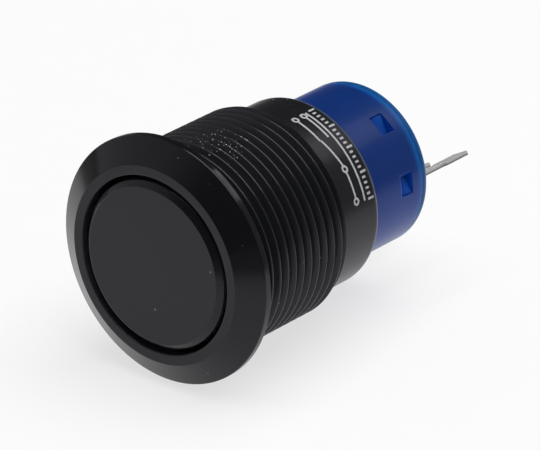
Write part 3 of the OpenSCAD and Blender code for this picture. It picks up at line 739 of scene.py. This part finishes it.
# %% [markdown]
# ## The blue housing
# A plain sleeve with four small windows near its end, in two pairs. The plug's snap lugs lock into them. The
# sleeve is turned, the windows are cut with a Boolean, and a Bevel softens only the new sharp edges, as the
# steel of a mould does. Weighted normals then keep the round wall smooth beside the cuts, and a ring of
# points close before and behind the windows keeps the softened shading near them. The helpers come first: a
# point and a box in the block's own turned frame, a cut with soft edges, and a way to mould small shapes on.

# %% Helpers for the switch block
CUT_EDGE_ANGLE = math.radians(45)


def swung(across, up, degrees):
    cosine, sine = math.cos(math.radians(degrees)), math.sin(math.radians(degrees))
    return across * cosine - up * sine, across * sine + up * cosine


def block_point(across, up, depth, turn=0):
    x, z = swung(*swung(across, up, turn), CLOCK)
    return x, depth, z


def block_box(low, high, turn=0):
    corners = []
    for depth in (low[2], high[2]):
        for across, up in ((low[0], low[1]), (high[0], low[1]), (high[0], high[1]), (low[0], high[1])):
            corners.append(block_point(across, up, depth, turn))
    walls = [(k, (k + 1) % 4, (k + 1) % 4 + 4, k + 4) for k in range(4)]
    return corners, [(0, 1, 2, 3), (4, 5, 6, 7)] + walls


def cut_away(piece, boxes, edge):
    points, faces = [], []
    for corners, sides in boxes:
        faces += [[index + len(points) for index in side] for side in sides]
        points += corners
    tool = finish_mesh(new_piece("cutting_tool", points, faces, piece.data.materials[0]))
    cut = piece.modifiers.new("cut", "BOOLEAN")
    cut.object = tool
    cut.solver = "EXACT"
    soft = piece.modifiers.new("soft_edges", "BEVEL")
    soft.width = edge * MM
    soft.segments = 2
    soft.limit_method = "ANGLE"
    soft.angle_limit = CUT_EDGE_ANGLE
    piece.modifiers.new("flat_faces", "WEIGHTED_NORMAL").keep_sharp = True
    freeze(piece)
    bpy.data.objects.remove(tool)


def mould_on(piece, *extras):
    whole = bmesh.new()
    for part in (piece, *extras):
        whole.from_mesh(part.data)
    whole.to_mesh(piece.data)
    whole.free()
    for part in extras:
        bpy.data.objects.remove(part)


print("the block's upright leans", CLOCK, "degrees")

# %% Make the housing
WALL, WINDOW_W, WINDOW_Y, WINDOW_END, WINDOW_EDGE = 0.7, 1.9, 21.85, 23.35, 0.06
WINDOW_TURNS, NEAR, WINDOW_OVERCUT = (22.5, -22.5, 157.5, 202.5), 0.15, 0.6
RECESS_R, PARTITION_Y, PARTITION_END, DRIVER_BORE = 5.9, 10.25, 11.45, 2.65
chamber_r = housing_r - WALL
groove_r = housing_r - (LOCK_END - LOCK_Y) / 2
housing = turned("housing_sleeve", eased([
    (RECESS_R, housing_y, 0.04), (housing_r, housing_y, 0.08), (housing_r, LOCK_Y, 0), (groove_r, LOCK_Y, 0),
    (groove_r, LOCK_END, 0), (housing_r, LOCK_END, 0), (housing_r, WINDOW_Y - NEAR, 0),
    (housing_r, WINDOW_END + NEAR, 0), (housing_r, seat_y, 0.04), (chamber_r, seat_y, 0.04),
    (chamber_r, PARTITION_END, 0), (DRIVER_BORE, PARTITION_END, 0), (DRIVER_BORE, PARTITION_Y, 0.04),
    (RECESS_R, PARTITION_Y, 0),
]), blue_nylon["housing"], around=180)
half_window = WINDOW_W / 2
window_low = (chamber_r - WINDOW_OVERCUT, -half_window, WINDOW_Y)
window_high = (housing_r + WINDOW_OVERCUT, half_window, WINDOW_END)
windows = [block_box(window_low, window_high, turn) for turn in WINDOW_TURNS]
cut_away(housing, windows, WINDOW_EDGE)
print("housing with", len(windows), "windows")

# %% [markdown]
# Two small ribs inside the sleeve guide the push piece's key, and a peg centres the rocker's spring. They
# were moulded with the sleeve and hide in it, so they are added as closed shapes that start in its wall.

# %% Add the ribs and the peg, and settle the housing
KEY_SIDE, RIB_W, RIB_H, RIB_END = 0.75, 0.5, 0.85, 15.3
PEG_R, PEG_END, SPRING_AT = 0.7, 12.25, (-3.4, -1.9)
IN_WALL, IN_PARTITION = 0.2, 0.1
root_y = PARTITION_END - IN_PARTITION
ribs = []
for side in (-1, 1):
    low_x, high_x = sorted((side * KEY_SIDE, side * (KEY_SIDE + RIB_W)))
    rib = block_box((low_x, chamber_r - RIB_H, root_y), (high_x, chamber_r + IN_WALL, RIB_END))
    ribs.append(finish_mesh(new_piece("key_rib", *rib, blue_nylon["housing"])))
peg = turned("spring_peg", eased([
    (0, root_y, 0), (PEG_R, root_y, 0), (PEG_R, PEG_END, 0.1), (0, PEG_END, 0),
]), blue_nylon["housing"], around=32, closed=False)
peg.data.transform(Matrix.Translation(Vector(block_point(*SPRING_AT, 0)) * MM))
mould_on(housing, *ribs, peg)
settle(housing, "barrel_assembly", "blue_plastic", "switch_housing")

# %% [markdown]
# ## The plug
# The plug closes the housing and holds the three blades. Its end plate is rounded at the back, and four
# ramped lugs spring into the windows. Two lugs share one flat spring arm, so their faces are flat too and
# lean in the round wall: each is almost level with the sleeve on its outer side and deep on its inner side.
# The blades stand in slots with a small lead-in all round. The plug is turned, the slots are cut, and the
# lugs are added as small bevelled wedges.

# %% Make the plug
NECK_W, BLADE_PITCH, END_ROUND, SLOT_LEAD_IN, SLOT_OVERCUT = 1.1, 4.7, 0.55, 0.12, 1
plug_r = chamber_r - FIT
plug = turned("terminal_plug", eased([
    (0, deck_y, 0), (plug_r, deck_y, 0.06), (plug_r, seat_y, 0), (plug_flange_r, seat_y, 0.04),
    (plug_flange_r, plug_end, END_ROUND), (0, plug_end, 0),
]), blue_nylon["plug"], around=180, closed=False)
slots = []
half_slot, half_t = NECK_W / 2 + FIT, BLADE_T / 2 + FIT
for middle in (-BLADE_PITCH, 0, BLADE_PITCH):
    slots.append(block_box(
        (middle - half_slot, BLADE_ROW - half_t, deck_y - SLOT_OVERCUT),
        (middle + half_slot, BLADE_ROW + half_t, plug_end + SLOT_OVERCUT),
    ))
cut_away(plug, slots, SLOT_LEAD_IN)
print("plug with", len(slots), "slots")

# %% Add the lugs and settle the plug
LUG_DROP, LUG_SIDE, LUG_RAMP, LUG_EDGE = 0.05, 0.06, 0.3, 0.05
lug_y, lug_end = WINDOW_Y + LUG_SIDE, WINDOW_END - FIT
ramp_end = lug_y + (WINDOW_END - WINDOW_Y) / 3
lug_half, lug_root = half_window - LUG_SIDE, plug_r - WALL
outer_side = math.radians(WINDOW_TURNS[0]) + math.asin(lug_half / housing_r)
lug_flat = (housing_r - LUG_DROP) * math.cos(outer_side)
lug_points, lug_faces = [], []
for turn in WINDOW_TURNS:
    cosine, sine = math.cos(math.radians(turn)), math.sin(math.radians(turn))
    base = len(lug_points)
    for up in (-lug_half, lug_half):
        top = (math.copysign(lug_flat, cosine) + up * sine) / cosine
        wedge = [
            (lug_root, lug_y), (top - LUG_RAMP, lug_y), (top, ramp_end), (top, lug_end), (lug_root, lug_end),
        ]
        lug_points += [block_point(out_to, up, depth, turn) for out_to, depth in wedge]
    sides = len(wedge)
    near_face, far_face = [[start + i for i in range(sides)] for start in (base, base + sides)]
    lug_faces += [near_face, far_face]
    for i in range(sides):
        j = (i + 1) % sides
        lug_faces.append([near_face[i], near_face[j], far_face[j], far_face[i]])
lugs = finish_mesh(new_piece("snap_lugs", lug_points, lug_faces, blue_nylon["plug"]))
lug_edges = lugs.modifiers.new("soft_edges", "BEVEL")
lug_edges.width, lug_edges.segments = LUG_EDGE * MM, 2
mould_on(plug, freeze(lugs))
settle(plug, "barrel_assembly", "blue_plastic", "terminal_base")

# %% [markdown]
# ## The blades
# The CAD blades have the right shape already, but a stamped edge is never sharp. A copy of the CAD mesh has
# its loose triangles merged and its flat faces made whole again, and a Bevel then rolls every edge by 0.06
# mm, so the edge that faces the camera shows a bright line.

# %% Make the blades
ROLLED_EDGE, SAME_PLANE = 0.06, math.radians(1)


def rolled_copy(node, name, finish):
    mesh = nodes[node].data.copy()
    mesh.materials.clear()
    mesh.materials.append(finish)
    piece = bpy.data.objects.new(name, mesh)
    scene.collection.objects.link(piece)
    shape = bmesh.new()
    shape.from_mesh(mesh)
    bmesh.ops.remove_doubles(shape, verts=shape.verts, dist=WELD)
    bmesh.ops.dissolve_limit(shape, angle_limit=SAME_PLANE, verts=shape.verts, edges=shape.edges)
    shape.to_mesh(mesh)
    shape.free()
    soft = piece.modifiers.new("rolled_edges", "BEVEL")
    soft.width, soft.segments = ROLLED_EDGE * MM, 3
    soft.limit_method, soft.angle_limit = "ANGLE", SHARP
    return finish_mesh(freeze(piece))


for contact in ("com", "no", "nc"):
    blade = rolled_copy("terminal_" + contact, "blade_" + contact, metals["tin"])
    settle(blade, "barrel_assembly", "tin_plate", "terminal_" + contact)

# %% [markdown]
# ## The springs as a rule
# Two coil springs hide inside: one lifts the button, and a small one holds the contact rocker to its resting
# side. Both follow one rule: a spiral, a round wire along it, and end turns that lie closer than the middle
# ones, as a wound spring has.

# %% Rule: wind a spring
END_CROWDING = 0.35
spring_rule, given = start_rule("wind_spring", ["Mean radius", "Wire", "Turns", "Height", "Start"])
line = add(
    spring_rule, "GeometryNodeCurveSpiral",
    {"Resolution": 48, "Rotations": given["Turns"], "Start Radius": given["Mean radius"],
     "End Radius": given["Mean radius"], "Height": 1.0},
)
at = add(spring_rule, "ShaderNodeSeparateXYZ", {0: add(spring_rule, "GeometryNodeInputPosition")})
eased_share = add(spring_rule, "ShaderNodeMapRange", {0: at.outputs["Z"]}, interpolation_type="SMOOTHSTEP")
share = add(
    spring_rule, "ShaderNodeMix",
    {0: END_CROWDING, 2: at.outputs["Z"], 3: eased_share}, data_type="FLOAT",
)
rise = add(
    spring_rule, "ShaderNodeMath",
    {0: share, 1: given["Height"], 2: given["Start"]}, operation="MULTIPLY_ADD",
)
turned_line = add(spring_rule, "ShaderNodeCombineXYZ", {0: at.outputs["X"], 1: rise, 2: at.outputs["Y"]})
laid = add(spring_rule, "GeometryNodeSetPosition", {"Geometry": line, "Position": turned_line})
half_wire = add(spring_rule, "ShaderNodeMath", {0: given["Wire"], 1: 0.5}, operation="MULTIPLY")
section = add(spring_rule, "GeometryNodeCurvePrimitiveCircle", {"Resolution": 14, "Radius": half_wire})
wire = add(
    spring_rule, "GeometryNodeCurveToMesh",
    {"Curve": laid, "Profile Curve": section, "Fill Caps": True},
)
end_rule(spring_rule, wire, given["Finish"])
print(spring_rule.name, len(spring_rule.nodes), "nodes")

# %% Wind both springs
for node, mean, wire_d, turns_of, middle, anchor, keep in (
    ("return_spring", 5, 0.45, 4.5, (0, 0), 3.8, 0.565),
    ("rocker_spring", 1, 0.3, 6, SPRING_AT, PARTITION_END, 0.61),
):
    low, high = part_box(node)
    seat = low.y + wire_d / 2 * MM
    spring = new_piece("wound_" + node, [(0, 0, 0)], [], metals["spring"])
    follow_rule(spring, spring_rule, {
        "Mean radius": mean * MM, "Wire": wire_d * MM, "Turns": turns_of,
        "Height": high.y - low.y - wire_d * MM, "Start": seat, "Finish": metals["spring"],
    })
    spring.data.transform(Matrix.Translation(Vector(block_point(*middle, 0)) * MM))
    settle(spring, "barrel_assembly", "bright_steel", node)
    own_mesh(spring)

# %% [markdown]
# ## The print on the barrel
# Makers print a contact diagram on such a barrel. This one is generic: a change-over contact with its three
# terminals, a long rule, and below it a row of index marks, as on a dial. The strokes are drawn flat, as
# lines in millimetres. A rule gives them a width and a thin layer of ink, and wraps them round the barrel.

# %% Rule: print on a barrel
print_rule, given = start_rule("print_round_barrel", ["Barrel radius", "First angle", "Stroke", "Ink"])
strokes = add(print_rule, "GeometryNodeMeshToCurve", {"Mesh": given["Geometry"]})
finer = add(print_rule, "GeometryNodeSubdivideCurve", {"Curve": strokes, "Cuts": 9})
upright = add(print_rule, "GeometryNodeSetCurveNormal", {"Curve": finer}, mode="Z_UP")
section = add(
    print_rule, "GeometryNodeCurvePrimitiveQuadrilateral", {"Width": given["Stroke"], "Height": given["Ink"]},
)
ribbon = add(
    print_rule, "GeometryNodeCurveToMesh",
    {"Curve": upright, "Profile Curve": section, "Fill Caps": True},
)
at = add(print_rule, "ShaderNodeSeparateXYZ", {0: add(print_rule, "GeometryNodeInputPosition")})
swing = add(print_rule, "ShaderNodeMath", {0: at.outputs["X"], 1: given["Barrel radius"]}, operation="DIVIDE")
swing = add(print_rule, "ShaderNodeMath", {0: swing, 1: given["First angle"]}, operation="ADD")
reach = add(print_rule, "ShaderNodeMath", {0: at.outputs["Z"], 1: given["Barrel radius"]}, operation="ADD")
spot = round_the_axis(print_rule, swing, reach, at.outputs["Y"])
wrapped = add(print_rule, "GeometryNodeSetPosition", {"Geometry": ribbon, "Position": spot})
end_rule(print_rule, wrapped, given["Finish"])
print(print_rule.name, len(print_rule.nodes), "nodes")

# %% Print the contact diagram
def circle(across, depth, radius):
    angles = [math.pi * eighth / 8 for eighth in range(17)]
    return [(across + radius * math.cos(angle), depth + radius * math.sin(angle)) for angle in angles]


PRINT_L, DIAGRAM_Y, CONTACT_Y, ARM_GAP = 9.5, 14.6, 0.55, 0.1
PIVOT_AT, CONTACT_AT, DOT_R, RULE_Y = 3.2, 6.3, 0.26, 15.65
MARKS_Y, MARK_STEPS, LONG_EVERY, LONG_MARK, SHORT_MARK = 16.1, 20, 5, 0.7, 0.4
strokes = [[(0, RULE_Y), (PRINT_L, RULE_Y)]]
strokes += [circle(DOT_R, DIAGRAM_Y, DOT_R), circle(PIVOT_AT, DIAGRAM_Y, DOT_R)]
strokes += [[(2 * DOT_R, DIAGRAM_Y), (PIVOT_AT - DOT_R, DIAGRAM_Y)]]
strokes += [[(PIVOT_AT + DOT_R, DIAGRAM_Y), (CONTACT_AT, DIAGRAM_Y - CONTACT_Y + ARM_GAP)]]
for y in (DIAGRAM_Y - CONTACT_Y, DIAGRAM_Y + CONTACT_Y):
    strokes += [[(CONTACT_AT, y), (PRINT_L - 2 * DOT_R, y)], circle(PRINT_L - DOT_R, y, DOT_R)]
for mark in range(MARK_STEPS + 1):
    at = PRINT_L * mark / MARK_STEPS
    strokes.append([(at, MARKS_Y), (at, MARKS_Y + (SHORT_MARK if mark % LONG_EVERY else LONG_MARK))])
points, edges = [], []
for stroke in strokes:
    edges += [(len(points) + i, len(points) + i + 1) for i in range(len(stroke) - 1)]
    points += [(across, depth, 0) for across, depth in stroke]
diagram = new_piece("contact_diagram_print", points, [], plain["ink"], edges)
follow_rule(diagram, print_rule, {
    "Barrel radius": BARREL_R * MM, "First angle": math.radians(14.5), "Stroke": 0.2 * MM, "Ink": 0.03 * MM,
    "Finish": plain["ink"],
})
settle(diagram, "barrel_assembly", "white_plastic")

# %% [markdown]
# ## The pieces that stay as they are
# The stem, seals, rings, push piece, rocker, pin and contact rivets have their right shape in the frame. They
# only get a finish, which goes into the material slots that they already have.

# %% Finish the carried-over pieces
for names, finish in (
    (("plunger_stem", "retaining_clip", "spring_seat_washer", "housing_snap_ring", "rocker_pin"),
     metals["spring"]),
    (("stem_seal", "housing_gasket"), plain["nitrile"]),
    (("driver",), plain["acetal"]),
    (("contact_rocker",), metals["phosphor"]),
    (("rocker_contact_no", "rocker_contact_nc", "fixed_contact_no", "fixed_contact_nc"), metals["silver"]),
):
    for name in names:
        for slot in nodes[name].material_slots:
            slot.material = finish
    print(finish.name, "on", ", ".join(names))

# %% [markdown]
# ## Floor and light
# The button lies on white paper under one large soft box overhead, with a dim room round it. The black
# finish is drawn by what it mirrors: the white paper in the button's face and the lower bevel, the dim room
# in the upper bevel, a paler wall at the left, a darker corner behind it and a grey screen at the right. A
# slim strip box behind draws the streak on the rim and on the crests of the thread: on a cylinder a mirrored
# light runs along a slanted arc, so the strip is tilted along it. Out of the picture the paper fades into a
# grey table, soonest in front, and there the right side of the bevel turns dark. The camera sees the paper
# nearly white, with the shadow left faint, and mirrors see it as the camera does.

# %% Lay the paper
PAPER_MIDDLE, PAPER_EDGE, TABLE_FROM = (-15 * MM, 30 * MM, 0), 60 * MM, 100 * MM
CLEAN_SHARE, FIBRE = 0.68, 3 * MM
paper = bpy.data.materials.new("matt_white_paper")
tree = empty_tree(paper)
place = add(tree, "ShaderNodeTexCoord").outputs["Object"]
flat = add(tree, "ShaderNodeVectorMath", {0: place, 1: (1, 1, 0)}, operation="MULTIPLY")
out = add(tree, "ShaderNodeVectorMath", {0: flat, 1: PAPER_MIDDLE}, operation="DISTANCE").outputs["Value"]
white = add(
    tree, "ShaderNodeMapRange",
    {"Value": out, "From Min": PAPER_EDGE, "From Max": TABLE_FROM, "To Min": 1, "To Max": 0},
)
fibres = add(tree, "ShaderNodeTexNoise", {"Vector": place, "Scale": 1 / FIBRE, "Detail": 3})
sheet = add(tree, "ShaderNodeMix", {0: fibres, 6: linear("#f2f2f2"), 7: linear("#f6f6f6")}, data_type="RGBA")
tone = add(tree, "ShaderNodeMix", {0: white, 6: linear("#8c8c8c"), 7: sheet.outputs[2]}, data_type="RGBA")
matt = add(tree, "ShaderNodeBsdfDiffuse", {"Color": tone.outputs[2]})
clean = add(tree, "ShaderNodeEmission", {"Color": (1, 1, 1, 1), "Strength": 1})
ray = add(tree, "ShaderNodeLightPath").outputs
seen = add(tree, "ShaderNodeMath", {0: ray["Is Camera Ray"], 1: ray["Is Glossy Ray"]}, operation="MAXIMUM")
seen = add(tree, "ShaderNodeMath", {0: seen, 1: ray["Is Transmission Ray"]}, operation="MAXIMUM")
seen = add(tree, "ShaderNodeMath", {0: seen, 1: white}, operation="MULTIPLY")
part_clean = add(tree, "ShaderNodeMath", {0: seen, 1: CLEAN_SHARE}, operation="MULTIPLY")
mixed = add(tree, "ShaderNodeMixShader", {0: part_clean, 1: matt, 2: clean})
add(tree, "ShaderNodeOutputMaterial", {"Surface": mixed})
FLOOR_HALF, FLOOR_GAP = 3000, 0.02
floor_z = cad_low.z / MM - FLOOR_GAP
corners = [(x * FLOOR_HALF, y * FLOOR_HALF, floor_z) for x, y in ((-1, -1), (1, -1), (1, 1), (-1, 1))]
floor = new_piece("paper_floor", corners, [(0, 1, 2, 3)], paper)
print("paper lies at", round(floor_z, 2), "mm")

# %% Hang the soft boxes
for name, place_at, aim_at, long_edge, wide, tall, watts in (
    ("overhead_soft_box", (0.2, 0.1, 0.8), (0.2, 0.1, 0), (1, 0, 0), 0.9, 0.9, 8),
    ("rear_strip_box", (0.28, 0.87, 0.81), (0, 0, 0), (0.945, 0, -0.327), 0.52, 0.14, 0.56),
):
    lamp = bpy.data.lights.new(name, "AREA")
    lamp.shape = "RECTANGLE"
    lamp.size, lamp.size_y = wide, tall
    lamp.energy = watts
    away = (Vector(place_at) - Vector(aim_at)).normalized()
    edge = Vector(long_edge)
    edge = (edge - away * edge.dot(away)).normalized()
    facing = Matrix((edge, away.cross(edge), away)).transposed().to_4x4()
    soft_box = bpy.data.objects.new(name, lamp)
    soft_box.matrix_world = Matrix.Translation(place_at) @ facing
    scene.collection.objects.link(soft_box)
    print(name, wide, "by", tall, "m at", watts, "W")

# %% Dim the room
ROOM = 0.13
room = bpy.data.worlds.new("dim_room")
scene.world = room
tree = empty_tree(room)
way = add(tree, "ShaderNodeTexCoord").outputs["Generated"]
level = 0
# The paler wall at the left, the grey screen at the right and the darker corner
for towards, starts, full, outside, inside, joined in (
    ((-0.9, -0.42, 0.1), 0.45, 0.9, ROOM, 0.5, "ADD"),
    ((0.66, 0.7, 0.27), 0.8, 0.97, 0, 0.2, "ADD"),
    ((-0.58, 0.7, 0.42), 0.6, 0.95, 1, 0.5, "MULTIPLY"),
):
    facing = add(tree, "ShaderNodeVectorMath", {0: way, 1: towards}, operation="DOT_PRODUCT")
    patch = add(
        tree, "ShaderNodeMapRange",
        {"Value": facing.outputs["Value"], "From Min": starts, "From Max": full,
         "To Min": outside, "To Max": inside},
        interpolation_type="SMOOTHSTEP",
    )
    level = add(tree, "ShaderNodeMath", {0: level, 1: patch}, operation=joined)
air = add(tree, "ShaderNodeBackground", {"Color": (1, 1, 1, 1), "Strength": level})
add(tree, "ShaderNodeOutputWorld", {"Surface": air})
print("room lit to", ROOM)
